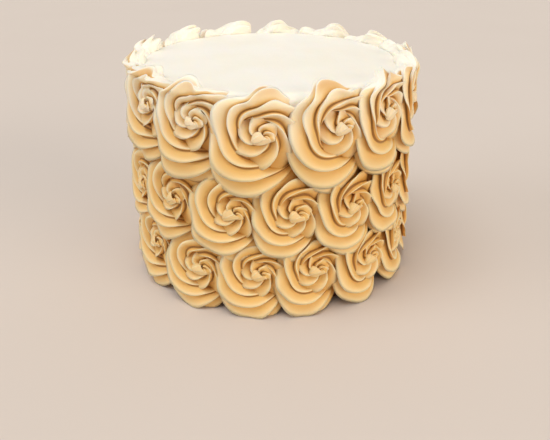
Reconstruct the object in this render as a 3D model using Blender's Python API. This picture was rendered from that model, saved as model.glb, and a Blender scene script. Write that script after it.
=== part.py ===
"""A tall round cake whose side is covered with three rows of piped buttercream rosettes.

Metres, +Z up. The origin is the middle of the underside. Azimuth 0 faces -Y and grows
towards +X, so it runs to the right for someone who looks at the front of the cake.
"""

import math
import random
from collections import namedtuple

import bmesh
import bpy

# The round chocolate cake, its flat iced top, and the gap that touching pieces keep.
SPONGE_RADIUS = 0.1016
SPONGE_HEIGHT = 0.1672
SPONGE_EDGE_ROUND = 0.0015
ICING_THICKNESS = 0.0050
ICING_RADIUS = SPONGE_RADIUS - 0.0003
ICING_EDGE_ROUND = 0.0018
ROUND_SIDES = 72
CLEARANCE = 0.0003

# One rosette is a rope of buttercream piped in a flat spiral that grows anticlockwise from
# its eye and ends low on the right, where the next rosette covers its tail.
STEPS_PER_TURN = 18
TURNS = 2.15
TAIL_ANGLE = math.radians(325)
TAIL_STEPS = 3
TAIL_THICKNESS = 0.35
NOTCH_PER_STEP = 0.0020
ROPE_HALF_WIDTH = 0.0092
ROPE_SHOULDER_WIDTH = 0.0066
FOOT_WIDTH = 0.0086
EYE_HEIGHT = 0.0182
CREST_HEIGHT = 0.0166
GROOVE_HEIGHT = 0.0118
SHOULDER_HEIGHT = 0.0140
EDGE_HEIGHT = 0.0080
BACK_HEIGHT = 0.0006

# Ruffles stand on the top row, above the iced top.
CROWN_HEIGHT = 0.1770
RUFFLE_WAVE = 0.0042
RUFFLES_PER_TURN = 4

# Sizes round the side are measured on this radius, half way into the rosettes.
UNROLLED_RADIUS = 0.110
SIZE_SPREAD = 0.035
TURN_SPREAD = math.radians(7)
SEED = 11

# Each row's eyes that face the front, as azimuth in degrees and height, are as uneven as
# they were piped. The hidden ones are spread evenly over the rest of the side. A rosette's
# room is centred left of its eye and below it: the wall drop places the borders to its
# neighbours, and the body drop and radius round off its corners.
Row = namedtuple(
    "Row", "name seen_eyes hidden wall_drop body_drop body_radius end_radius pitch ruffled"
)
BODY_SHIFT = -0.0035
LOW_EYES = ((-54.0, 0.0440), (-28.8, 0.0370), (-4.9, 0.0390), (17.0, 0.0400), (42.6, 0.0365))
MID_EYES = ((-40.0, 0.0910), (-14.3, 0.0880), (8.5, 0.0885), (32.5, 0.0870))
TOP_EYES = ((-52.5, 0.1575), (-29.3, 0.1540), (-3.8, 0.1475), (25.4, 0.1500), (49.0, 0.1525))
ROWS = (
    Row("low", LOW_EYES, 10, 0.0085, 0.0112, 0.0300, 0.0262, 0.0120, False),
    Row("mid", MID_EYES, 11, 0.0085, 0.0070, 0.0298, 0.0262, 0.0120, False),
    Row("top", TOP_EYES, 9, 0.0135, 0.0076, 0.0360, 0.0280, 0.0130, True),
)

Place = namedtuple("Place", "row number around height scale turn")

MATERIALS = {
    "chocolate_sponge": ((0.085, 0.036, 0.016, 1.0), 0.90),
    "top_buttercream": ((0.905, 0.850, 0.720, 1.0), 0.48),
    "rosette_buttercream": ((0.880, 0.720, 0.450, 1.0), 0.42),
}


def clear_scene():
    for obj in list(bpy.data.objects):
        bpy.data.objects.remove(obj, do_unlink=True)


def material(name):
    color, roughness = MATERIALS[name]
    made = bpy.data.materials.get(name) or bpy.data.materials.new(name)
    made.use_nodes = True
    shader = made.node_tree.nodes["Principled BSDF"]
    shader.inputs["Base Color"].default_value = color
    shader.inputs["Roughness"].default_value = roughness
    shader.inputs["Metallic"].default_value = 0.0
    return made


def add_object(name, mesh_builder, material_name):
    bmesh.ops.recalc_face_normals(mesh_builder, faces=mesh_builder.faces)
    mesh = bpy.data.meshes.new(name)
    mesh_builder.to_mesh(mesh)
    mesh_builder.free()
    mesh.materials.append(material(material_name))
    obj = bpy.data.objects.new(name, mesh)
    bpy.context.scene.collection.objects.link(obj)
    return obj


def add_drum(name, radius, bottom, top, edge_round, rounds_bottom, material_name):
    """A round slab with a rounded rim, standing from bottom to top."""
    builder = bmesh.new()
    bmesh.ops.create_cone(
        builder,
        cap_ends=True,
        segments=ROUND_SIDES,
        radius1=radius,
        radius2=radius,
        depth=top - bottom,
    )
    bmesh.ops.translate(builder, verts=builder.verts, vec=(0, 0, (top + bottom) / 2))
    middle = (top + bottom) / 2
    rims = []
    for edge in builder.edges:
        heights = [vert.co.z for vert in edge.verts]
        flat = abs(heights[0] - heights[1]) < CLEARANCE
        if flat and (heights[0] > middle or rounds_bottom):
            rims.append(edge)
    bmesh.ops.bevel(
        builder,
        geom=rims,
        offset=edge_round,
        offset_type="OFFSET",
        segments=2,
        profile=0.5,
        affect="EDGES",
    )
    return add_object(name, builder, material_name)


def on_side(around, height, out):
    """The point at a distance round the side, a height, and a distance out from the sponge."""
    azimuth = around / UNROLLED_RADIUS
    radius = SPONGE_RADIUS + out
    return (radius * math.sin(azimuth), -radius * math.cos(azimuth), height)


def eyes_of(row):
    """The azimuth and height of every eye in a row, the seen ones first."""
    first = row.seen_eyes[0][0]
    last = row.seen_eyes[-1][0]
    spacing = (360 - (last - first)) / (row.hidden + 1)
    mean_height = sum(height for azimuth, height in row.seen_eyes) / len(row.seen_eyes)
    hidden = [(last + spacing * (number + 1), mean_height) for number in range(row.hidden)]
    return list(row.seen_eyes) + hidden


def rosette_places():
    """Where each rosette's eye is, with its own small difference in size and turn."""
    draw = random.Random(SEED)
    places = []
    for row in ROWS:
        for number, (azimuth, height) in enumerate(eyes_of(row), start=1):
            around = math.radians(azimuth) * UNROLLED_RADIUS
            scale = 1 + draw.uniform(-SIZE_SPREAD, SIZE_SPREAD)
            turn = draw.uniform(-TURN_SPREAD, TURN_SPREAD)
            places.append(Place(row, number, around, height, scale, turn))
    return places


def walls_of(place, places):
    """The borders of a rosette's room as (normal, distance) pairs, measured from its eye."""
    girth = 2 * math.pi * UNROLLED_RADIUS
    walls = [((0.0, -1.0), place.height - 2 * CLEARANCE)]
    for other in places:
        if other is place:
            continue
        across = (other.around - place.around + girth / 2) % girth - girth / 2
        up = other.height - other.row.wall_drop - place.height + place.row.wall_drop
        length = math.hypot(across, up)
        normal = (across / length, up / length)
        from_eye = BODY_SHIFT * normal[0] - place.row.wall_drop * normal[1]
        walls.append((normal, length / 2 - CLEARANCE + from_eye))
    return walls


def room_along(place, angle, walls):
    """How far a rosette may reach from its eye in one direction."""
    across = math.cos(angle)
    up = math.sin(angle)
    towards_body = BODY_SHIFT * across - place.row.body_drop * up
    off_centre = BODY_SHIFT**2 + place.row.body_drop**2
    reach = towards_body + math.sqrt(towards_body**2 - off_centre + place.row.body_radius**2)
    if place.row.ruffled and up > 0:
        reach = min(reach, (CROWN_HEIGHT - place.height) / up)
        reach += up * RUFFLE_WAVE * math.cos(RUFFLES_PER_TURN * angle + place.number)
    for normal, distance in walls:
        facing = across * normal[0] + up * normal[1]
        if facing > 0:
            reach = min(reach, distance / facing)
    return reach


def add_rosette(place, places):
    """A closed spiral of buttercream: crests with grooves between them, an outer wall and a back."""
    builder = bmesh.new()
    walls = walls_of(place, places)
    steps = round(TURNS * STEPS_PER_TURN)
    last_turn = steps - STEPS_PER_TURN
    half_pitch = place.row.pitch / 2

    def angle_of(step):
        return TAIL_ANGLE + place.turn - (steps - step) * 2 * math.pi / STEPS_PER_TURN

    def crest_radius(step):
        turns_to_go = (steps - step) / STEPS_PER_TURN
        grown = place.row.end_radius - place.row.pitch * turns_to_go
        return max(0.0, grown * place.scale)

    def thickness(step):
        """1 along the rope, falling to a thin tail in the last few steps."""
        return min(1.0, TAIL_THICKNESS + (1 - TAIL_THICKNESS) * (steps - step) / TAIL_STEPS)

    def rope_reach(step):
        return crest_radius(step) + ROPE_HALF_WIDTH * thickness(step)

    def fit(step):
        """How much the rosette is stretched or pressed, at this step's angle, to fill its room."""
        outer = steps - (steps - step) % STEPS_PER_TURN
        beside_tail = rope_reach(steps) - NOTCH_PER_STEP * (outer - last_turn)
        return room_along(place, angle_of(outer), walls) / max(rope_reach(outer), beside_tail)

    def vertex(step, extra, out):
        radius = (crest_radius(step) + extra) * fit(step)
        angle = angle_of(step)
        around = place.around + radius * math.cos(angle)
        height = place.height + radius * math.sin(angle)
        return builder.verts.new(on_side(around, height, out))

    crest, groove, shoulder, edge, foot, back = [], [], {}, {}, {}, {}
    for step in range(steps + 1):
        eased = min(1.0, step / STEPS_PER_TURN)
        top = EYE_HEIGHT + (CREST_HEIGHT - EYE_HEIGHT) * eased
        crest.append(vertex(step, 0.0, top * (0.5 + 0.5 * thickness(step))))
    for step in range(last_turn + 1):
        groove.append(vertex(step, half_pitch, GROOVE_HEIGHT))
    for step in range(last_turn, steps + 1):
        thin = thickness(step)
        shoulder[step] = vertex(step, ROPE_SHOULDER_WIDTH * thin, SHOULDER_HEIGHT * thin)
        edge[step] = vertex(step, ROPE_HALF_WIDTH * thin, EDGE_HEIGHT * thin)
        foot[step] = vertex(step, FOOT_WIDTH * thin, BACK_HEIGHT)
    for step in range(last_turn, steps):
        back[step] = vertex(step, -crest_radius(step) / 2, BACK_HEIGHT)
    back_middle = vertex(0, 0.0, BACK_HEIGHT)

    def face(*corners):
        builder.faces.new(corners)

    def strip(inner, outer, first, last, shift=0):
        for step in range(first, last):
            face(inner[step], inner[step + 1], outer[step + 1 + shift], outer[step + shift])

    for step in range(1, STEPS_PER_TURN):
        face(crest[0], crest[step], crest[step + 1])
    face(crest[0], crest[STEPS_PER_TURN], groove[0])
    strip(crest, groove, 0, last_turn)
    strip(groove, crest, 0, last_turn, STEPS_PER_TURN)
    for inner, outer in ((crest, shoulder), (shoulder, edge), (edge, foot)):
        strip(inner, outer, last_turn, steps)
    strip(foot, back, last_turn, steps - 1)
    face(foot[steps - 1], foot[steps], foot[last_turn], back[last_turn], back[steps - 1])
    for step in range(last_turn, steps):
        after = step + 1 if step + 1 < steps else last_turn
        face(back[step], back[after], back_middle)
    tail_end = [groove[last_turn], crest[steps], shoulder[steps], edge[steps], foot[steps]]
    first_side = [foot[last_turn], edge[last_turn], shoulder[last_turn], crest[last_turn]]
    face(*tail_end, *first_side)
    name = f"rosette_{place.row.name}_{place.number:02d}"
    bmesh.ops.triangulate(builder, faces=builder.faces)
    obj = add_object(name, builder, "rosette_buttercream")
    obj.data.shade_smooth()
    return obj


def main():
    clear_scene()
    add_drum(
        "sponge", SPONGE_RADIUS, 0.0, SPONGE_HEIGHT, SPONGE_EDGE_ROUND, True, "chocolate_sponge"
    )
    icing_bottom = SPONGE_HEIGHT + CLEARANCE
    icing_top = icing_bottom + ICING_THICKNESS
    add_drum(
        "top_icing",
        ICING_RADIUS,
        icing_bottom,
        icing_top,
        ICING_EDGE_ROUND,
        False,
        "top_buttercream",
    )
    places = rosette_places()
    for place in places:
        add_rosette(place, places)


main()
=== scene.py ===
# %% [markdown]
# # A cake covered with piped buttercream roses
#
# This notebook finishes a tall round cake. Its side is covered with three rows of
# rosettes, piped with an open star tip, and its top is iced flat. The solid model gives
# every piece its place and its size. Here each rosette is piped again, as a real rope
# of buttercream, so that its ridges, ruffles and folds can be seen and touched.

# %% Load the solid model
import math
import random
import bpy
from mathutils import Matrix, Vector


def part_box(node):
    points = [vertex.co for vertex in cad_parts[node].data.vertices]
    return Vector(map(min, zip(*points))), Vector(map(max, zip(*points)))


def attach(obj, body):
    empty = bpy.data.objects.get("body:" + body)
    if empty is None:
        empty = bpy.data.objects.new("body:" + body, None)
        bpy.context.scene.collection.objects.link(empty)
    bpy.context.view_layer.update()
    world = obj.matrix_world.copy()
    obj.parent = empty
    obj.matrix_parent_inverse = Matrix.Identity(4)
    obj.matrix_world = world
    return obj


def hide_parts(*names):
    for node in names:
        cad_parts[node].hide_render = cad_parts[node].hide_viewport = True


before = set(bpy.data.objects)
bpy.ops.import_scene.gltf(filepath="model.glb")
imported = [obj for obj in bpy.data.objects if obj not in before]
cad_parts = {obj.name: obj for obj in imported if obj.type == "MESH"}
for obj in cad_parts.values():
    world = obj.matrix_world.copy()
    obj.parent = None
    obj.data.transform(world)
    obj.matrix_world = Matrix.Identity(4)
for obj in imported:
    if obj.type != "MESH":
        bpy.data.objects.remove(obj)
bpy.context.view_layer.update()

from types import SimpleNamespace

import bmesh
import bpy
from mathutils import Vector

rosette_nodes = sorted(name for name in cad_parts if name.startswith("rosette_"))
row_names = sorted({name.split("_")[1] for name in rosette_nodes})
print(len(rosette_nodes), "rosettes in the rows", row_names)

# %% [markdown]
# ## Camera
#
# The camera stands in front of the cake and looks down on it, so that the flat top shows
# as an ellipse. Its height, distance and tilt were fitted to the round edges and to the
# rosettes that can be told apart. The lens is a little longer than a phone's.

# %% Place the camera
CAMERA_DISTANCE = 0.5409
CAMERA_HEIGHT = 0.2988
LOOKS_DOWN = math.radians(26.81)
TURNED_RIGHT = math.radians(0.33)
IMAGE_WIDTH = 550
FOCAL_PIXELS = 667.3
SENSOR_WIDTH = 36.0
NEAREST_SEEN = 0.01

camera_data = bpy.data.cameras.new("camera")
camera_data.sensor_width = SENSOR_WIDTH
camera_data.lens = SENSOR_WIDTH * FOCAL_PIXELS / IMAGE_WIDTH
camera_data.clip_start = NEAREST_SEEN
camera = bpy.data.objects.new("camera", camera_data)
camera.location = (0.0, -CAMERA_DISTANCE, CAMERA_HEIGHT)
camera.rotation_euler = (math.pi / 2 - LOOKS_DOWN, 0.0, -TURNED_RIGHT)
bpy.context.scene.collection.objects.link(camera)
bpy.context.scene.camera = camera
print("lens", round(camera_data.lens, 1), "mm")

# %% [markdown]
# ## Node expressions
#
# Both the shaders and the piping recipe are sums and products of many values. Drawn as
# nodes they are hard to read, so one small class wraps a node's output and lets Python's
# own operators add the Math nodes. Any other node comes from its one method `add`.
# Colours are mixed by the Mix node, because a Math node would turn them grey.


# %% Wrap a node's output
class Term:
    """The output of a node, which can stand in a Python expression."""

    def __init__(self, tree, output):
        self.tree = tree
        self.output = output

    @staticmethod
    def add(tree, kind, settings=None, sockets=None, output=0):
        """Adds a node, with its settings first and then its sockets' values or links."""
        node = tree.nodes.new(kind)
        for name, value in (settings or {}).items():
            setattr(node, name, value)
        for key, value in (sockets or {}).items():
            Term.feed(tree, node.inputs[key], value)
        return Term(tree, node.outputs[output] if node.outputs else None)

    @staticmethod
    def feed(tree, socket, value):
        """Links a term to a socket, or sets the socket to a plain value."""
        if isinstance(value, Term):
            tree.links.new(value.output, socket)
        else:
            socket.default_value = value

    def other(self, output):
        """Another output of the same node."""
        return Term(self.tree, self.output.node.outputs[output])

    def math(self, operation, *values):
        """A Math node with this term in its first socket."""
        sockets = dict(enumerate((self, *values)))
        return Term.add(self.tree, "ShaderNodeMath", {"operation": operation}, sockets)

    def __add__(self, value):
        return self.math("ADD", value)

    def __sub__(self, value):
        return self.math("SUBTRACT", value)

    def __rsub__(self, value):
        return Term.add(self.tree, "ShaderNodeMath", {"operation": "SUBTRACT"}, {0: value, 1: self})

    def __mul__(self, value):
        return self.math("MULTIPLY", value)

    def __truediv__(self, value):
        return self.math("DIVIDE", value)

    def __pow__(self, value):
        return self.math("POWER", value)

    __radd__ = __add__
    __rmul__ = __mul__

    def sin(self):
        """The sine of this term."""
        return self.math("SINE")

    def cos(self):
        """The cosine of this term."""
        return self.math("COSINE")

    def least(self, value):
        """Never above the value."""
        return self.math("MINIMUM", value)

    def most(self, value):
        """Never below the value."""
        return self.math("MAXIMUM", value)

    def eased(self, start, end):
        """0 before start, 1 after end, and smooth in between."""
        settings = {"interpolation_type": "SMOOTHSTEP"}
        sockets = {"Value": self, "From Min": start, "From Max": end}
        return Term.add(self.tree, "ShaderNodeMapRange", settings, sockets)


def mixed(tree, factor, first, second):
    """A colour between two colours, through the Mix node."""
    sockets = {0: factor, 6: first, 7: second}
    return Term.add(tree, "ShaderNodeMix", {"data_type": "RGBA"}, sockets, 2)


def raised(factor, floor):
    """A factor that starts at the floor, where it started at 0, and still ends at 1."""
    return floor + (1.0 - floor) * factor


# %% [markdown]
# ## What all the materials share
#
# Every finish here is a Principled shader. Its constants, such as how much light sinks
# in, sit on the shader's own sockets. Noise at a few scales changes the colour and the
# roughness a little from place to place, and a Bump node adds the finest relief.


# %% Start a material
def new_material(name, specular, subsurface=0.0, scatter_radius=(0.001, 0.001, 0.001)):
    """A Principled material whose constants sit on the shader's own sockets."""
    material = bpy.data.materials.new(name)
    material.use_nodes = True
    shader = material.node_tree.nodes["Principled BSDF"]
    shader.inputs["Specular IOR Level"].default_value = specular
    shader.inputs["Subsurface Weight"].default_value = subsurface
    shader.inputs["Subsurface Radius"].default_value = scatter_radius
    shader.inputs["Subsurface Scale"].default_value = 1.0
    return material, material.node_tree, shader


def noise(tree, coordinates, scale, detail, roughness=0.55):
    """Soft random spots, more of them to the metre with a larger scale."""
    sockets = {"Vector": coordinates, "Scale": scale, "Detail": detail, "Roughness": roughness}
    return Term.add(tree, "ShaderNodeTexNoise", {}, sockets)


def bump(tree, height, distance):
    """Fine relief, as deep as the distance in metres."""
    return Term.add(tree, "ShaderNodeBump", {}, {"Height": height, "Distance": distance})


def attribute(tree, name, output="Fac"):
    """A value that a mesh carries at each of its points."""
    return Term.add(tree, "ShaderNodeAttribute", {"attribute_name": name}, output=output)


# %% [markdown]
# ## Buttercream of the rosettes
#
# Buttercream is butter whipped with sugar. Each thick ridge is cream with a painted ivory
# highlight on its crest, the folds get a painted golden shade, where light passes from wall to
# wall, and a thin brown line of painted shade lies in each crease. All of it is more golden than
# the top, which is the same icing: that difference is painted shade too. It is soft and a little
# greasy, so it shines faintly and light sinks into it.
#
# The piping recipe stores three attributes that follow the rope: `ridge` says how far a
# point is up its ridge, `rise` how far it stands out of the cake, and `strand` turns
# with the tip, so that noise read there becomes the fine scratches that the tip leaves.
#
# The top row is paler, because light from above reaches it freely, and that light is painted
# into its colour. A few height zones do this: the faces turn to a painted pale cream, the rims of
# the ridges to a painted pale ivory highlight, and the back of the crown and the tips of its
# petals too, while the lips in front get a painted golden shade.

# %% Mix the rosettes' buttercream
# Apart from the cream of the faces, these colours are painted light and shade on the buttercream.
CREST_PAINTED_HIGHLIGHT = (0.95, 0.84, 0.55, 1.0)
SHADED_FACE_CREAM = (0.81, 0.49, 0.150, 1.0)
FOLD_PAINTED_SHADE = (0.65, 0.305, 0.054, 1.0)
CREASE_PAINTED_SHADE = (0.25, 0.095, 0.016, 1.0)
CROWN_PAINTED_LIGHT = (0.94, 0.81, 0.52, 1.0)
PAINTED_PALE_HIGHLIGHT = (0.97, 0.93, 0.82, 1.0)
RIDGE_SHARE = 0.4
RISE_SHARE = 0.6
CLOUD_SHARE = 0.2
CREST_HIGHLIGHT_SHARPNESS = 3.5
LIP_SHARPNESS = 5.0
RIM_SHARPNESS = 2.0
CROWN_LIGHT_SHARE = 0.65
LIP_PAINTED_SHADE_SHARE = 0.55
RIM_HIGHLIGHT_SHARE = 0.70
RIM_LOST_ON_LIP = 0.8
LESS_WHERE_UP = 0.6
SCRATCH_DEPTH = 0.00035
# Height zones in which painted light and painted shade are laid on the top row.
HEIGHT_ZONES = {
    "top row": (0.122, 0.160),
    "faces": (0.142, 0.170),
    "crown": (0.164, 0.173),
    "lips": (0.171, 0.179),
    "tips": (0.181, 0.185),
}


# The painted light and shade of the top row are placed by this, after which way a surface faces.
def outward_facing(tree, place):
    """How far a surface faces away from the cake's axis, less where it faces up."""
    product = {"operation": "MULTIPLY"}
    dot_product = {"operation": "DOT_PRODUCT"}
    normal = Term.add(tree, "ShaderNodeNewGeometry", output="Normal")
    flat = Term.add(tree, "ShaderNodeVectorMath", product, {0: place, 1: (1.0, 1.0, 0.0)})
    away = Term.add(tree, "ShaderNodeVectorMath", {"operation": "NORMALIZE"}, {0: flat})
    along = Term.add(tree, "ShaderNodeVectorMath", dot_product, {0: away, 1: normal}, "Value")
    upward = Term.add(tree, "ShaderNodeSeparateXYZ", {}, {0: normal}, "Z")
    return along - upward.most(0.0) * LESS_WHERE_UP


def rope_color_and_painted_light(tree, ridge, rise, clouds):
    """Cream faces with painted golden shade in folds, painted crest highlights and crease shade."""
    depth = ridge * RIDGE_SHARE + rise.eased(0.25, 0.85) * RISE_SHARE
    depth = depth + (clouds - 0.5) * CLOUD_SHARE
    # Painted shade: low and sunken points turn from the shaded cream to a golden shade.
    color = mixed(tree, depth.eased(0.15, 0.75), FOLD_PAINTED_SHADE, SHADED_FACE_CREAM)
    # Painted highlight: the crests of the standing ridges turn ivory.
    crest = (ridge ** CREST_HIGHLIGHT_SHARPNESS) * rise.eased(0.4, 0.9)
    color = mixed(tree, crest, color, CREST_PAINTED_HIGHLIGHT)
    # Painted shade: a thin brown line of shade in each crease.
    return mixed(tree, ridge.eased(-0.03, 0.10), CREASE_PAINTED_SHADE, color)


def top_row_painted_light(tree, color, ridge, place):
    """The rope's colour with painted light towards the crown and painted golden shade on the lips.
    """
    height = Term.add(tree, "ShaderNodeSeparateXYZ", {}, {0: place}, "Z")
    zone = {name: height.eased(*span) for name, span in HEIGHT_ZONES.items()}
    outward = outward_facing(tree, place).eased(-0.15, 0.25)
    # Painted light: the faces near the crown turn to a pale cream.
    faces = zone["faces"] * ridge.eased(0.02, 0.40)
    color = mixed(tree, faces * CROWN_LIGHT_SHARE, color, CROWN_PAINTED_LIGHT)
    # Painted shade: the lips that face outwards in front turn golden.
    lip = zone["lips"] * outward * (1.0 - ridge ** LIP_SHARPNESS)
    color = mixed(tree, lip * LIP_PAINTED_SHADE_SHARE, color, FOLD_PAINTED_SHADE)
    # Painted highlight: the rims of the top row's ridges turn pale ivory, less on the lips.
    rim_highlight = zone["top row"] * (ridge ** RIM_SHARPNESS) * (1.0 - lip * RIM_LOST_ON_LIP)
    color = mixed(tree, rim_highlight * RIM_HIGHLIGHT_SHARE, color, PAINTED_PALE_HIGHLIGHT)
    # Painted light: the back of the crown and the tips of its petals turn pale ivory.
    lit_back_and_tips = zone["crown"] * (1.0 - outward * (1.0 - zone["tips"]))
    return mixed(tree, lit_back_and_tips, color, PAINTED_PALE_HIGHLIGHT)


def rosette_buttercream():
    """The finish of all the rosettes."""
    material, tree, shader = new_material(
        "rosette_buttercream", 0.35, 0.14, (0.0022, 0.0012, 0.0005)
    )
    place = Term.add(tree, "ShaderNodeTexCoord", output="Object")
    ridge = attribute(tree, "ridge")
    clouds = noise(tree, place, 28.0, 2.0)
    scratches = noise(tree, attribute(tree, "strand", "Vector"), 900.0, 4.0, 0.65)
    grains = noise(tree, place, 1900.0, 2.0)
    color = rope_color_and_painted_light(tree, ridge, attribute(tree, "rise"), clouds)
    color = top_row_painted_light(tree, color, ridge, place)
    relief = bump(tree, scratches * 0.7 + grains * 0.3, SCRATCH_DEPTH)
    Term.feed(tree, shader.inputs["Base Color"], color)
    Term.feed(tree, shader.inputs["Roughness"], 0.38 + scratches * 0.12 + grains * 0.05)
    Term.feed(tree, shader.inputs["Normal"], relief)
    return material


rosette_finish = rosette_buttercream()
print("rosette buttercream of", len(rosette_finish.node_tree.nodes), "nodes")

# %% [markdown]
# ## Buttercream of the top
#
# The top is the same icing, spread thick and smooth, so it has no folds to hold golden
# light and is nearly white. Faint clouds, knife strokes and grains keep it from looking
# like plastic. It shines less than the ropes, because the knife leaves it matt.

# %% Mix the top's buttercream
TOP_IVORY = (0.96, 0.93, 0.86, 1.0)
TOP_CREAM = (0.94, 0.90, 0.80, 1.0)
STROKE_DEPTH = 0.0005


def top_buttercream():
    """The finish of the iced top."""
    material, tree, shader = new_material("top_buttercream", 0.12, 0.3, (0.004, 0.003, 0.0018))
    place = Term.add(tree, "ShaderNodeTexCoord", output="Object")
    clouds = noise(tree, place, 14.0, 2.0)
    grains = noise(tree, place, 700.0, 3.0)
    strokes = noise(tree, place, 60.0, 3.0)
    color = mixed(tree, clouds.eased(0.3, 0.7), TOP_IVORY, TOP_CREAM)
    relief = bump(tree, strokes * 0.8 + grains * 0.2, STROKE_DEPTH)
    Term.feed(tree, shader.inputs["Base Color"], color)
    Term.feed(tree, shader.inputs["Roughness"], 0.42 + grains * 0.15)
    Term.feed(tree, shader.inputs["Normal"], relief)
    return material


top_finish = top_buttercream()
print("top buttercream of", len(top_finish.node_tree.nodes), "nodes")

# %% [markdown]
# ## Chocolate sponge
#
# Between the rosettes a few small gaps show the cake. Its solid has the right shape, so
# only its finish changes: a dark, dull crumb. Noise gives the crumbs, and a Voronoi
# texture gives the small holes that baking leaves between them.

# %% Bake the sponge's crumb
CRUMB_DARK = (0.045, 0.016, 0.006, 1.0)
CRUMB_BROWN = (0.16, 0.065, 0.026, 1.0)
CRUMB_DEPTH = 0.0012


def chocolate_sponge():
    """The finish of the cake between the rosettes."""
    material, tree, shader = new_material("chocolate_sponge", 0.2)
    place = Term.add(tree, "ShaderNodeTexCoord", output="Object")
    holes = Term.add(tree, "ShaderNodeTexVoronoi", {}, {"Vector": place, "Scale": 420.0})
    crumbs = noise(tree, place, 260.0, 4.0, 0.7)
    color = mixed(tree, (crumbs * 0.7 + holes * 0.5).least(1.0), CRUMB_DARK, CRUMB_BROWN)
    Term.feed(tree, shader.inputs["Base Color"], color)
    Term.feed(tree, shader.inputs["Roughness"], 0.8 + crumbs * 0.2)
    Term.feed(tree, shader.inputs["Normal"], bump(tree, crumbs + holes, CRUMB_DEPTH))
    return material


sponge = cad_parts["sponge"]
sponge.data.materials.clear()
sponge.data.materials.append(chocolate_sponge())
print("sponge crumb on", sponge.name)

# %% [markdown]
# ## The iced top
#
# The top is spread flat with a palette knife. It isn't a perfect disc: the knife leaves
# shallow waves, and the edge rolls down behind the rosettes, so that no slit opens
# between them and the top. A flat disc with a bevel would do for the outline alone. A
# polar grid of points is used instead, because the waves, small sums of sines, can lift
# each point and still stay smooth.

# %% Spread the iced top
TOP_RINGS = 48
TOP_SECTORS = 144
KNIFE_WAVE = 0.00028
WAVE_UNIT = 0.1
ROLLED_OVER = 0.0060
ROLLED_EDGE = 0.0080
ROLLED_DROP = 0.0050
ROLLED_FOOT = 0.0080
SHARP_ABOVE = math.radians(50)


def knife_height(x, y):
    """The shallow waves that the palette knife leaves."""
    angle = math.atan2(y, x)
    radius = math.hypot(x, y) / WAVE_UNIT
    swirl = math.sin(9.0 * radius + 2.0 * angle)
    drift = math.sin(23.0 * x / WAVE_UNIT + 3.0 * y / WAVE_UNIT)
    drift *= math.sin(4.0 * y / WAVE_UNIT + 1.0)
    return KNIFE_WAVE * (0.6 * swirl * radius + 0.5 * drift)


def ring_of_points(builder, reach, top, drop):
    """One round of points, lifted by the knife's waves and lowered by the drop."""
    row = []
    for sector in range(TOP_SECTORS):
        angle = 2 * math.pi * sector / TOP_SECTORS
        x = reach * math.cos(angle)
        y = reach * math.sin(angle)
        row.append(builder.verts.new((x, y, top + knife_height(x, y) - drop)))
    return row


def top_points(builder, radius, low, high):
    """The middle point, the rounds about it and the foot that hides behind the rosettes."""
    middle = builder.verts.new((0.0, 0.0, high[2]))
    rings = []
    for ring in range(1, TOP_RINGS + 1):
        reach = radius * ring / TOP_RINGS
        edge = max(0.0, 1 - (radius - reach) / ROLLED_EDGE)
        rings.append(ring_of_points(builder, reach, high[2], ROLLED_DROP * edge**2))
    foot_height = low[2] - ROLLED_FOOT
    foot = [builder.verts.new((vert.co.x, vert.co.y, foot_height)) for vert in rings[-1]]
    rings.append(foot)
    return middle, rings


def top_faces(builder, middle, rings):
    """Closes the points to one solid body."""
    for sector in range(TOP_SECTORS):
        after = (sector + 1) % TOP_SECTORS
        builder.faces.new((middle, rings[0][sector], rings[0][after]))
        for inner, outer in zip(rings, rings[1:]):
            builder.faces.new((inner[sector], outer[sector], outer[after], inner[after]))
    builder.faces.new(list(reversed(rings[-1])))
    bmesh.ops.recalc_face_normals(builder, faces=builder.faces)


def iced_top():
    """The iced top, a little wider than its solid, with its finish."""
    low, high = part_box("top_icing")
    radius = (high[0] - low[0]) / 2 + ROLLED_OVER
    builder = bmesh.new()
    middle, rings = top_points(builder, radius, low, high)
    top_faces(builder, middle, rings)
    mesh = bpy.data.meshes.new("iced_top")
    builder.to_mesh(mesh)
    builder.free()
    mesh.shade_smooth()
    mesh.set_sharp_from_angle(angle=SHARP_ABOVE)
    mesh.materials.append(top_finish)
    piece = bpy.data.objects.new("iced_top", mesh)
    bpy.context.scene.collection.objects.link(piece)
    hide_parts("top_icing")
    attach(piece, "root")
    return piece


print("iced top with", len(iced_top().data.polygons), "faces")

# %% [markdown]
# ## How a rosette is piped
#
# The tip points straight at the cake and moves anticlockwise in a growing spiral, from
# the eye outwards. It never turns in the hand. So a tooth of the tip that faces up at
# the start still faces up at the end, while the rope turns under it: each ridge starts
# on the rope's outer edge, climbs over its top and dives inwards within half a turn.
# That is what makes a rosette look like a rose, and a swept circle wouldn't show it.
#
# A Geometry Nodes tree follows the same rule. It starts from a plain tube, whose height
# becomes the way along the rope and whose angle becomes the angle round the tip. Then
# one Set Position node lays it on the cake. The columns of the tube follow the ridges,
# so a crisp crest needs no fine mesh. Each size that differs from one rosette to the
# next is a named input of the tree.

# %% Sizes of the tip and of the rope
TEETH = 7
SAMPLES_PER_TOOTH = 10
STEPS_ALONG = 190
TURNS = 2.15
TAIL_ANGLE = math.radians(325)
UNROLLED_RADIUS = 0.110
sponge_low, sponge_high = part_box("sponge")
SPONGE_RADIUS = (sponge_high[0] - sponge_low[0]) / 2
ICED_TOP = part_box("top_icing")[1][2]

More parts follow.
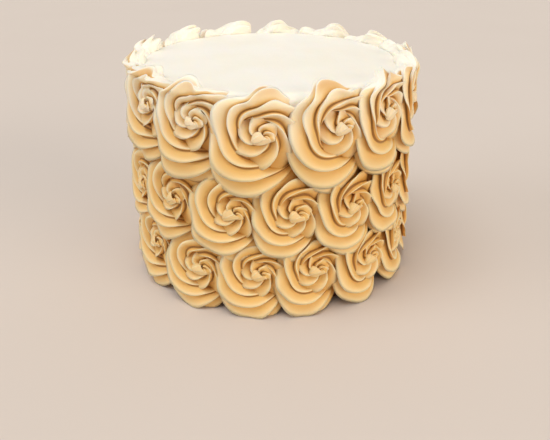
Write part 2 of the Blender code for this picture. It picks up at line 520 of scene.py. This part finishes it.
ROPE_INPUTS = {
    "Eye Azimuth": 0.0,
    "Eye Height": 0.1,
    "Tail Angle": TAIL_ANGLE,
    "End Radius": 0.0262,
    "Pitch": 0.012,
    "Half Width": 0.0100,
    "Half Depth": 0.0088,
    "Lift": 0.0078,
    "Eye Rise": 0.0052,
    "Eye Length": 0.0100,
    "Eye Shift": 0.0036,
    "Eye Drop": 0.0024,
    "Eye Tilt": 0.25,
    "Basin": 0.0046,
    "Tuck": 0.0040,
    "Right": 1.0,
    "Up": 1.0,
    "Left": 1.0,
    "Down": 1.0,
    "Corners": 0.06,
    "Tooth Depth": 0.48,
    "Lean": 0.0022,
    "Sag": 0.0008,
    "Ruffle": 0.0012,
    "Ruffles": 7.0,
    "Phase": 0.0,
    "Tip Turn": 0.0,
    "Tilt": 0.0024,
    "Crown": 0.0,
}


def start_recipe():
    """A new tree with one named input for each size, and its group input as terms."""
    tree = bpy.data.node_groups.new("Piped rosette", "GeometryNodeTree")
    tree.interface.new_socket("Geometry", in_out="INPUT", socket_type="NodeSocketGeometry")
    for name, value in ROPE_INPUTS.items():
        socket = tree.interface.new_socket(name, in_out="INPUT", socket_type="NodeSocketFloat")
        socket.default_value = value
    tree.interface.new_socket("Material", in_out="INPUT", socket_type="NodeSocketMaterial")
    tree.interface.new_socket("Rosette", in_out="OUTPUT", socket_type="NodeSocketGeometry")
    entry = Term.add(tree, "NodeGroupInput")
    sizes = {name: entry.other(name) for name in ROPE_INPUTS}
    return tree, sizes, entry.other("Material")


print("tip with", TEETH, "teeth, sponge radius", round(SPONGE_RADIUS * 1000, 1), "mm")

# %% [markdown]
# ## The tube and the teeth
#
# Each gap between two teeth of the tip presses one ridge. It has a broad inner face and a
# steep outer side. Most of the tube's columns lie on the broad face, and the column at
# the crest is exactly on the crest, so it comes out sharp.

# %% Read the tube and press the teeth
CREST_SAMPLE = 0.7
CREST_AT = 0.88
FACE_CURVE = 1.4
PAINTED_SIDE_CURVE = 4.0


def plain_tube(tree):
    """An upright tube whose columns follow the teeth of the tip."""
    sockets = {
        "Vertices": TEETH * SAMPLES_PER_TOOTH,
        "Side Segments": STEPS_ALONG,
        "Fill Segments": 1,
        "Radius": 1.0,
        "Depth": 1.0,
    }
    return Term.add(tree, "GeometryNodeMeshCylinder", {"fill_type": "TRIANGLE_FAN"}, sockets)


def tube_point(tree):
    """How far a point is along the rope, round the tip and out of the tube's middle."""
    point = Term.add(tree, "GeometryNodeInputPosition")
    parts = Term.add(tree, "ShaderNodeSeparateXYZ", {}, {0: point})
    across = parts.other("X")
    back = parts.other("Y")
    along = parts.other("Z") + 0.5
    around = (back.math("ARCTAN2", across) / (2 * math.pi) + 1.0).math("FRACT")
    shell = (across * across + back * back).math("SQRT")
    return along, around, shell


def tooth_profile(around):
    """The angle round the tip, the ridge there, and the mask for the painted shade and highlight.
    """
    tooth = (around * TEETH).math("FLOOR")
    within = around * TEETH - tooth
    climb = within.least(CREST_SAMPLE) * (CREST_AT / CREST_SAMPLE)
    drop = (within - CREST_SAMPLE).most(0.0) * ((1 - CREST_AT) / (1 - CREST_SAMPLE))
    phase = climb + drop
    angle = (tooth + phase) * (2 * math.pi / TEETH)
    inner_face = (phase / CREST_AT).least(1.0) ** FACE_CURVE
    outer_side = ((1 - phase) / (1 - CREST_AT)).most(0.0).least(1.0)
    ridge = inner_face.least(outer_side)
    # This ridge falls fast on the steep side, so that the painted crease shade covers it.
    painted_ridge = inner_face.least(outer_side ** PAINTED_SIDE_CURVE)
    return angle, ridge, painted_ridge


print("one column in", SAMPLES_PER_TOOTH, "lies on each crest")

# %% [markdown]
# ## The spiral
#
# The rope's middle line is a plain spiral: its distance from the eye grows by one pitch a
# turn. The rope starts as a small round lobe in the eye, swells over the first third,
# and thins out to a tail where the tip is pulled away. Spans below are shares of the way
# along the rope, from the eye at 0 to the tail at 1. The tail's span is an angle.

# %% Wind the spiral
EYE_SHARE = 0.055
ROUND_END_SHARE = 0.7
EYE_THICKNESS = 0.35
TAIL_THICKNESS = 0.12
EYE_LOBE_SPAN = (0.06, 0.13)
SWELLING_SPAN = (0.06, 0.36)
INNER_SPAN = (0.05, 0.45)
TAIL_SPAN = (-0.15, 1.1)


def wind_spiral(size, along):
    """Where the tip is at each step along the rope, and how thick the rope is there."""
    path = SimpleNamespace(along=along)
    to_go = (1.0 - along) * (2 * math.pi * TURNS)
    path.heading = size["Tail Angle"] - to_go
    path.radius = (size["End Radius"] - size["Pitch"] * to_go / (2 * math.pi)).most(0.0)
    path.tail = to_go.eased(*TAIL_SPAN)
    path.lobe = 1.0 - along.eased(*EYE_LOBE_SPAN)
    path.inner = 1.0 - along.eased(*INNER_SPAN)
    path.swell = raised(along.eased(*SWELLING_SPAN), EYE_THICKNESS)
    to_tip = (1.0 - along / (EYE_SHARE * ROUND_END_SHARE)).most(0.0)
    round_end = (1.0 - to_tip * to_tip).most(0.0).math("SQRT")
    path.thickness = raised(path.tail, TAIL_THICKNESS) * path.swell * round_end
    return path


print("rope of", TURNS, "turns")

# %% [markdown]
# ## The cross-section
#
# Round the rope, `side` is 1 on the outer edge and -1 on the inner one, and `top` is 1 where
# the rope faces away from the cake. The grooves between the ridges are deep on top, and
# shallow below, in the eye, and on the inner side, where the next turn presses on them.
# On the crown they nearly vanish, because there the rope opens to a smooth petal.

# %% Groove the rope
QUARTERS_TURNED = 1.5 * math.pi
OUTER_SPAN = (0.0, 0.9)
UPPER_SPAN = (-0.4, 0.2)
PRESSED_SPAN = (0.25, 1.0)
GROOVE_BELOW = 0.15
LOBE_SMOOTHING = 0.95
PRESSED_SMOOTHING = 0.55
INNER_SMOOTHING = 0.35
CROWN_SMOOTHING = 0.75
CROWN_SPAN = (ICED_TOP - 0.018, ICED_TOP - 0.002)


def cross_section(size, path, tip_angle, ridge, shell):
    """Where a point is round the rope, and how far it is from the rope's middle line."""
    rope = SimpleNamespace()
    roll = path.heading - tip_angle + QUARTERS_TURNED
    rope.side = roll.sin() * -1.0
    rope.inward = rope.side * -1.0
    rope.top = roll.cos()
    rope.outer = rope.side.eased(*OUTER_SPAN)
    middle_height = size["Eye Height"] + path.radius * path.heading.sin()
    rope.crown = middle_height.eased(*CROWN_SPAN) * size["Crown"]
    rope.smooth = 1.0 - CROWN_SMOOTHING * rope.crown * rope.outer
    depth = size["Tooth Depth"] * raised(rope.top.eased(*UPPER_SPAN), GROOVE_BELOW)
    depth = depth * (1.0 - LOBE_SMOOTHING * path.lobe)
    depth = depth * (1.0 - PRESSED_SMOOTHING * rope.inward.eased(*PRESSED_SPAN))
    depth = depth * (1.0 - INNER_SMOOTHING * path.inner) * rope.smooth
    rope.body = (1.0 - depth * (1.0 - ridge)) * shell * path.thickness
    return rope


print("the crown starts", round((ICED_TOP - CROWN_SPAN[0]) * 1000, 1), "mm below the iced top")

# %% [markdown]
# ## Away from the eye, and out of the cake
#
# Two lengths place a point before it is laid on the cake. Its reach is how far it is from
# the eye. The crests lean outwards, and the inner side of the first turn is filled, so
# that no hole opens beside the eye. Its rise is how far it stands out: the rope climbs
# to the eye's lobe, sinks into a basin round it, and is tucked in where the next turn
# overlaps it.

# %% Place the rope's surface
EYE_FILLING = 0.6
LEAN_ALL_ROUND = 0.3
LEAN_AT_TAIL = 0.15
LIFT_AT_TAIL = 0.20
BASIN_SHARE = 0.8
BASIN_SPAN = (0.12, 0.40)
CLIMB_SPAN = (0.06, 0.32)
TUCK_STARTS = (0.10, 0.25)
TUCK_ENDS = (0.45, 0.70)


def away_from_eye(size, path, rope, ridge, shell):
    """How far a point is from the eye."""
    filled = 1.0 + EYE_FILLING * path.inner * rope.inward.most(0.0)
    reach = path.radius + size["Half Width"] * rope.side * rope.body * filled
    lean = size["Lean"] * (LEAN_ALL_ROUND + rope.outer) * path.swell
    lean = lean * raised(path.tail, LEAN_AT_TAIL) * rope.smooth
    return reach + lean * ridge * ridge * shell


def out_of_cake(size, path, rope):
    """How far a point stands out of the cake."""
    hollow = (1.0 - path.radius / (size["End Radius"] * BASIN_SHARE)).most(0.0)
    basin = hollow * path.along.eased(*BASIN_SPAN)
    climbed = 1.0 - path.along.eased(*CLIMB_SPAN)
    lift = size["Lift"] * raised(path.tail, LIFT_AT_TAIL) + size["Eye Rise"] * climbed
    lift = lift - size["Basin"] * basin
    tucked = rope.side.eased(0.0, 1.0) * path.along.eased(*TUCK_STARTS)
    tucked = tucked * (1.0 - path.along.eased(*TUCK_ENDS))
    return lift + size["Half Depth"] * rope.top * rope.body - size["Tuck"] * tucked


print("the basin ends at", BASIN_SHARE, "of the rosette's end radius")

# %% [markdown]
# ## Ruffles and the crown's petals
#
# The outer edge of the rope is never quite even. Three sines that don't keep step with
# each other give it small ruffles. On the crown the edge opens to a petal with broad
# waves. A sine with its peaks flattened gives lips that are broad, not pointed. Where a
# wave lifts the lip, it also leans in over the top.

# %% Ruffle the edge
FINE_STEP = 1.61
FINE_PHASE = 2.1
CROSS_STEP = 1.37
CROSS_PHASE = 1.7
RUFFLE_SIDEWAYS = 0.8
PETAL_SPAN = (-0.1, 0.8)
PETAL_BETWEEN_RIDGES = 0.5
PETAL_RISE = 0.0014
PETAL_WAVE = 0.0026
PETAL_FINE_WAVE = 0.0008
PETAL_OUT = 0.0018
PETAL_CROSS_WAVE = 0.0010
PETAL_LEANS_IN = 0.0028


def ruffled(size, path, rope, ridge, reach, out):
    """The reach and the rise with the waves of the outer edge."""
    turned = path.heading * size["Ruffles"]
    wave = (turned + size["Phase"]).sin()
    fine_wave = (turned * FINE_STEP + size["Phase"] * FINE_PHASE).sin()
    cross_wave = (turned * CROSS_STEP + size["Phase"] * CROSS_PHASE).cos()
    broad_wave = wave * (1.5 - 0.5 * wave * wave)
    ruffle = size["Ruffle"] * ridge * rope.outer * path.thickness
    between = raised(ridge.eased(*PETAL_SPAN), PETAL_BETWEEN_RIDGES)
    petal = rope.crown * rope.outer * between * path.thickness
    lifted = PETAL_RISE + PETAL_WAVE * broad_wave + PETAL_FINE_WAVE * fine_wave
    leaning = PETAL_OUT + PETAL_CROSS_WAVE * cross_wave - PETAL_LEANS_IN * broad_wave
    reach = reach + ruffle * wave * RUFFLE_SIDEWAYS + petal * lifted
    out = out + ruffle * cross_wave + petal * leaning
    return reach, out


print("petals wave by", PETAL_WAVE * 1000, "mm")

# %% [markdown]
# ## Laying the rope on the cake
#
# First the rope is laid on the cake's unrolled side, flat as paper. It is stretched or
# pressed a little in each direction to fill the space that its solid has, sags under its
# own weight, and tilts as a real rosette does. Then the paper is rolled up: the way
# across becomes an angle round the cake, and the rise is added to the sponge's radius.

# %% Lay the rope
STRETCH_SPAN = (0.25, 0.60)
SAG_SPAN = (-0.2, 0.6)
LOWEST_POINT = 0.0004
TILT_ACROSS = -0.75
TILT_UP = -0.85
TILT_UNIT = 0.030
OVER_TOP_SPAN = (ICED_TOP - 0.001, ICED_TOP + 0.002)
SUNK_IN = 0.0002
REACH_OVER_TOP = 0.006


def blend_reach(size, cosine, sine):
    """How much the rosette is stretched or pressed in a direction to fill its space."""
    right = cosine.most(0.0) ** 2.0 * size["Right"]
    left = (-1.0 * cosine).most(0.0) ** 2.0 * size["Left"]
    up = sine.most(0.0) ** 2.0 * size["Up"]
    down = (-1.0 * sine).most(0.0) ** 2.0 * size["Down"]
    corner = (cosine * sine * 2.0) ** 2.0 * size["Corners"]
    return right + left + up + down + corner


def unrolled(size, path, rope, ridge, reach, out):
    """A point's way across and height on the unrolled side, and its rise there."""
    cosine = path.heading.cos()
    sine = path.heading.sin()
    stretch = blend_reach(size, cosine, sine) - 1.0
    stretch = 1.0 + stretch * path.along.eased(*STRETCH_SPAN)
    lead = (1.0 - path.along / EYE_SHARE).most(0.0)
    shift = size["Eye Shift"] * path.inner - size["Eye Length"] * lead
    x = reach * cosine * stretch + shift * size["Eye Tilt"].cos()
    y = reach * sine * stretch + shift * size["Eye Tilt"].sin() - size["Eye Drop"] * path.inner
    sag = size["Sag"] * ridge * ridge * rope.top.eased(*SAG_SPAN) * path.thickness
    z = (size["Eye Height"] + y - sag * (1.0 - rope.crown)).most(LOWEST_POINT)
    out = out + (x * TILT_ACROSS + y * TILT_UP) / TILT_UNIT * size["Tilt"]
    over_top = z.eased(*OVER_TOP_SPAN)
    return x, z, out.most(-SUNK_IN - over_top * REACH_OVER_TOP)


def rolled_up(tree, size, x, z, out):
    """The place on the round cake of a point on its unrolled side."""
    azimuth = size["Eye Azimuth"] + x / UNROLLED_RADIUS
    distance = out + SPONGE_RADIUS
    sockets = {"X": distance * azimuth.sin(), "Y": distance * azimuth.cos() * -1.0, "Z": z}
    return Term.add(tree, "ShaderNodeCombineXYZ", {}, sockets)


print("petals reach", REACH_OVER_TOP * 1000, "mm over the iced top at most")

# %% [markdown]
# ## The whole recipe
#
# The attributes for the material are stored on the tube before its points are moved,
# because they are worked out from the tube's own points. The tree ends in Realize
# Instances and Set Material, so that its result is one plain mesh with its finish.

# %% Write the piping recipe
STRAND_RADIUS = 0.01
STRAND_STEP = 0.0025
LOBE_PAINTED_HIGHLIGHT = 0.75


def strand_place(tree, tip_angle, heading):
    """Where the noise of the scratches is read, so that they run with the rope."""
    sockets = {
        "X": tip_angle.cos() * STRAND_RADIUS,
        "Y": tip_angle.sin() * STRAND_RADIUS,
        "Z": heading * STRAND_STEP,
    }
    return Term.add(tree, "ShaderNodeCombineXYZ", {}, sockets)


def stored(tree, mesh, name, data_type, value):
    """The mesh with one more value at each point, for the material to read."""
    settings = {"data_type": data_type, "domain": "POINT"}
    sockets = {"Geometry": mesh, "Name": name, "Value": value}
    return Term.add(tree, "GeometryNodeStoreNamedAttribute", settings, sockets)


def finish_recipe(tree, mesh, place, material):
    """Moves the points to their place and gives the rope its finish."""
    mesh = Term.add(tree, "GeometryNodeSetPosition", {}, {"Geometry": mesh, "Position": place})
    mesh = Term.add(tree, "GeometryNodeSetShadeSmooth", {}, {"Geometry": mesh})
    mesh = Term.add(tree, "GeometryNodeRealizeInstances", {}, {"Geometry": mesh})
    sockets = {"Geometry": mesh, "Material": material}
    mesh = Term.add(tree, "GeometryNodeSetMaterial", {}, sockets)
    Term.add(tree, "NodeGroupOutput", {}, {"Rosette": mesh})


def piping_recipe():
    """The tree from the plain tube to the piped rope."""
    tree, size, material = start_recipe()
    along, around, shell = tube_point(tree)
    tooth_angle, ridge, painted_ridge = tooth_profile(around)
    tip_angle = tooth_angle + size["Tip Turn"]
    path = wind_spiral(size, along)
    rope = cross_section(size, path, tip_angle, ridge, shell)
    reach = away_from_eye(size, path, rope, ridge, shell)
    out = out_of_cake(size, path, rope)
    reach, out = ruffled(size, path, rope, ridge, reach, out)
    x, z, out = unrolled(size, path, rope, ridge, reach, out)
    strand = strand_place(tree, tip_angle, path.heading)
    mesh = stored(tree, plain_tube(tree), "strand", "FLOAT_VECTOR", strand)
    # Painted highlight: the eye's lobe counts as a crest for the material, so it is painted pale.
    mesh = stored(tree, mesh, "ridge", "FLOAT", painted_ridge.most(path.lobe * LOBE_PAINTED_HIGHLIGHT))
    mesh = stored(tree, mesh, "rise", "FLOAT", out / (size["Lift"] + size["Half Depth"]))
    finish_recipe(tree, mesh, rolled_up(tree, size, x, z, out), material)
    return tree


recipe = piping_recipe()
print("recipe of", len(recipe.nodes), "nodes")

# %% [markdown]
# ## Measuring the solid rosettes
#
# The solid model's rosettes are placed as a decorator would place them, a little uneven.
# The farthest point of each one from the cake's axis is its eye. How far it reaches left,
# right, up and down from there is the space that the piped rope has to fill.


# %% Measure the rosettes of the solid model
def measure(node):
    """The eye's azimuth and height, and the reach right, up, left and down from it."""
    corners = [node.matrix_world @ vert.co for vert in node.data.vertices]
    eye = max(corners, key=lambda corner: math.hypot(corner.x, corner.y))
    azimuth = math.atan2(eye.x, -eye.y)
    turned = []
    for corner in corners:
        turn = math.atan2(corner.x, -corner.y) - azimuth
        turned.append((turn + math.pi) % (2 * math.pi) - math.pi)
    reach = {
        "Right": max(turned) * UNROLLED_RADIUS,
        "Up": max(corner.z for corner in corners) - eye.z,
        "Left": -min(turned) * UNROLLED_RADIUS,
        "Down": eye.z - min(corner.z for corner in corners),
    }
    return azimuth, eye.z, reach


spaces = {name: measure(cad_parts[name]) for name in rosette_nodes}
print("first eye at", round(spaces[rosette_nodes[0]][1] * 1000, 1), "mm")

# %% [markdown]
# ## Uneven sizes
#
# No two rosettes come out the same from a hand. Each one's sizes are drawn at random
# within narrow limits, always in the same order and from a fixed seed, so the cake is
# the same at each run. The seed was picked among many, so that the highest points of
# the front petals stand where the real ones do. A few millimetres more than the
# measured space let the ropes overlap and close the joints, as soft icing does. The
# petals of the top row are lifted above the iced top, at the back a little more.

# %% Draw the sizes of one rosette
DIRECTIONS = {"Right": 0.0, "Up": math.pi / 2, "Left": math.pi, "Down": 1.5 * math.pi}
OVERLAP = {"Right": 0.0030, "Up": 0.0040, "Left": 0.0035, "Down": 0.0020}
END_RADIUS = {"low": 0.0262, "mid": 0.0262, "top": 0.0280}
PITCH = {"low": 0.0120, "mid": 0.0120, "top": 0.0130}
RUFFLE = {"low": 0.0009, "mid": 0.0010, "top": 0.0016}
LIP_ABOVE_TOP = 0.0022
LIP_UNEVEN = 0.0026
LIP_RISE_BEHIND = 0.0040
CROWN_MORE_BEHIND = 0.25
CROWN_CORNERS = 0.10
CROWN_RUFFLES = (4.4, 5.6)
CHANCES = {
    "Pitch": (0.99, 1.12),
    "Half Depth": (0.92, 1.08),
    "Eye Length": (0.80, 1.20),
    "Eye Rise": (0.75, 1.15),
    "Tooth Depth": (0.42, 0.54),
    "Tail Angle": (-0.15, 0.15),
    "Ruffle": (0.7, 1.3),
    "Ruffles": (5.5, 7.5),
    "Phase": (0.0, 2 * math.pi),
    "Tip Turn": (0.4, 1.2),
    "Eye Tilt": (0.05, 0.40),
}
SCALED_BY_CHANCE = ("Pitch", "Half Depth", "Eye Length", "Eye Rise", "Ruffle")
SET_BY_CHANCE = ("Tooth Depth", "Ruffles", "Phase", "Tip Turn", "Eye Tilt")


def natural_reach(sizes, direction):
    """How far the outer edge of an unstretched rope is from the eye."""
    turns_to_go = ((TAIL_ANGLE - direction) / (2 * math.pi)) % 1.0
    return sizes["End Radius"] - sizes["Pitch"] * turns_to_go + sizes["Half Width"]


def uneven_sizes(row, draw):
    """The usual sizes of a row, changed a little by chance."""
    sizes = dict(ROPE_INPUTS)
    sizes["End Radius"] = END_RADIUS[row]
    sizes["Pitch"] = PITCH[row]
    sizes["Ruffle"] = RUFFLE[row]
    chance = {name: draw.uniform(*span) for name, span in CHANCES.items()}
    for name in SCALED_BY_CHANCE:
        sizes[name] *= chance[name]
    for name in SET_BY_CHANCE:
        sizes[name] = chance[name]
    sizes["Tail Angle"] += chance["Tail Angle"]
    return sizes


def open_crown(sizes, azimuth, height, draw):
    """Opens a rosette of the top row to a petal that stands above the iced top."""
    behind = 0.5 - 0.5 * math.cos(azimuth)
    sizes["Crown"] = 1.0 + CROWN_MORE_BEHIND * behind
    sizes["Corners"] = CROWN_CORNERS
    sizes["Ruffles"] = draw.uniform(*CROWN_RUFFLES)
    lip = LIP_ABOVE_TOP + LIP_UNEVEN * draw.uniform(-1.0, 1.0) + LIP_RISE_BEHIND * behind
    sizes["Up"] = (ICED_TOP + lip - height) / natural_reach(sizes, DIRECTIONS["Up"])


def rope_sizes(name, draw):
    """All the sizes that the recipe needs for one rosette."""
    row = name.split("_")[1]
    azimuth, height, reach = spaces[name]
    sizes = uneven_sizes(row, draw)
    sizes["Eye Azimuth"] = azimuth
    sizes["Eye Height"] = height
    for side, direction in DIRECTIONS.items():
        sizes[side] = (reach[side] + OVERLAP[side]) / natural_reach(sizes, direction)
    if row == "top":
        open_crown(sizes, azimuth, height, draw)
    return sizes


print(len(CHANCES), "sizes are drawn for each rosette")

# %% [markdown]
# ## Piping all the rosettes
#
# The recipe runs once for each rosette, on an empty object with a Geometry Nodes
# modifier. Its result is kept as a plain mesh and the modifier is removed, so each
# rosette stays a piece of its own that replaces its solid.

# %% Pipe them all
SEED = 33255


def set_inputs(modifier, sizes, material):
    """Sets the modifier's inputs through their identifiers."""
    for item in recipe.interface.items_tree:
        if item.in_out == "INPUT" and item.name in sizes:
            modifier[item.identifier] = sizes[item.name]
        elif item.name == "Material":
            modifier[item.identifier] = material


def pipe(name, sizes, material):
    """Runs the recipe once and keeps its result as a plain mesh."""
    blank = bpy.data.objects.new("blank", bpy.data.meshes.new("blank"))
    bpy.context.scene.collection.objects.link(blank)
    modifier = blank.modifiers.new("piping", "NODES")
    modifier.node_group = recipe
    set_inputs(modifier, sizes, material)
    bpy.context.view_layer.update()
    evaluated = blank.evaluated_get(bpy.context.evaluated_depsgraph_get())
    mesh = bpy.data.meshes.new_from_object(evaluated)
    blank.modifiers.remove(modifier)
    bpy.data.objects.remove(blank, do_unlink=True)
    mesh.name = name
    piece = bpy.data.objects.new(name, mesh)
    bpy.context.scene.collection.objects.link(piece)
    return piece


draw = random.Random(SEED)
for name in rosette_nodes:
    piece = pipe("piped_" + name, rope_sizes(name, draw), rosette_finish)
    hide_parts(name)
    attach(piece, "root")
triangles = len(piece.data.polygons) * 2
print(len(rosette_nodes), "rosettes of about", triangles, "triangles")

# %% [markdown]
# ## Floor
#
# A plain pale floor carries the cake and throws some light back up at it. One large disc
# is enough. Faint clouds in its colour and a dull finish keep it from glaring when it is
# seen at a low angle against the light.

# %% Lay the floor
FLOOR_RADIUS = 60.0
FLOOR_CORNERS = 96
FLOOR_PALE = (0.70, 0.63, 0.58, 1.0)
FLOOR_DEEP = (0.67, 0.60, 0.55, 1.0)


def floor_material():
    """The finish of the floor."""
    material, tree, shader = new_material("pale_floor", 0.1)
    place = Term.add(tree, "ShaderNodeTexCoord", output="Object")
    clouds = noise(tree, place, 3.0, 2.0)
    Term.feed(tree, shader.inputs["Base Color"], mixed(tree, clouds, FLOOR_PALE, FLOOR_DEEP))
    Term.feed(tree, shader.inputs["Roughness"], 0.7 + clouds * 0.2)
    return material


def lay_floor():
    """One flat disc under the cake, which isn't part of it."""
    builder = bmesh.new()
    bmesh.ops.create_circle(
        builder, cap_ends=True, segments=FLOOR_CORNERS, radius=FLOOR_RADIUS
    )
    mesh = bpy.data.meshes.new("floor")
    builder.to_mesh(mesh)
    builder.free()
    mesh.materials.append(floor_material())
    floor = bpy.data.objects.new("floor", mesh)
    bpy.context.scene.collection.objects.link(floor)
    return floor


print("floor", lay_floor().dimensions.x, "m across")

# %% [markdown]
# ## Light
#
# Soft light comes from three wide suns, which light the whole floor evenly, where area
# lamps would leave a bright pool. The one overhead makes the flat top and the upper side
# of each ridge nearly white. The warm one stands low in front on the right. It fills the
# golden faces and grazes the ridges, so that they show. A weak, cool one on the left
# gives the left flanks their pale ivory. The world around is a pale, warm white.

# %% Hang the lights
CAKE_MIDDLE = (0.0, 0.0, 0.10)
SURROUNDINGS = (1.0, 0.95, 0.90, 1.0)
SURROUNDINGS_STRENGTH = 0.50
SUNS = {
    "overhead": {
        "place": (-0.45, -0.40, 2.0),
        "spread": math.radians(42),
        "strength": 1.27,
        "color": (1.0, 0.98, 0.94),
    },
    "warm fill": {
        "place": (2.41, -1.88, 0.34),
        "spread": math.radians(50),
        "strength": 2.15,
        "color": (1.0, 0.88, 0.70),
    },
    "side fill": {
        "place": (-2.4, -0.6, 1.2),
        "spread": math.radians(34),
        "strength": 0.66,
        "color": (0.93, 0.97, 1.0),
    },
}


def hang_sun(name, place, spread, strength, color):
    """A wide sun at a place, which shines at the middle of the cake."""
    lamp = bpy.data.lights.new(name, "SUN")
    lamp.angle = spread
    lamp.energy = strength
    lamp.color = color
    light = bpy.data.objects.new(name, lamp)
    light.location = place
    way = Vector(CAKE_MIDDLE) - light.location
    light.rotation_euler = way.to_track_quat("-Z", "Y").to_euler()
    bpy.context.scene.collection.objects.link(light)


for name, sun in SUNS.items():
    hang_sun(name, **sun)

world = bpy.data.worlds.new("soft surroundings")
world.use_nodes = True
background = world.node_tree.nodes["Background"]
background.inputs["Color"].default_value = SURROUNDINGS
background.inputs["Strength"].default_value = SURROUNDINGS_STRENGTH
bpy.context.scene.world = world
bpy.context.scene.view_settings.view_transform = "Standard"
print(len(SUNS), "suns hung")
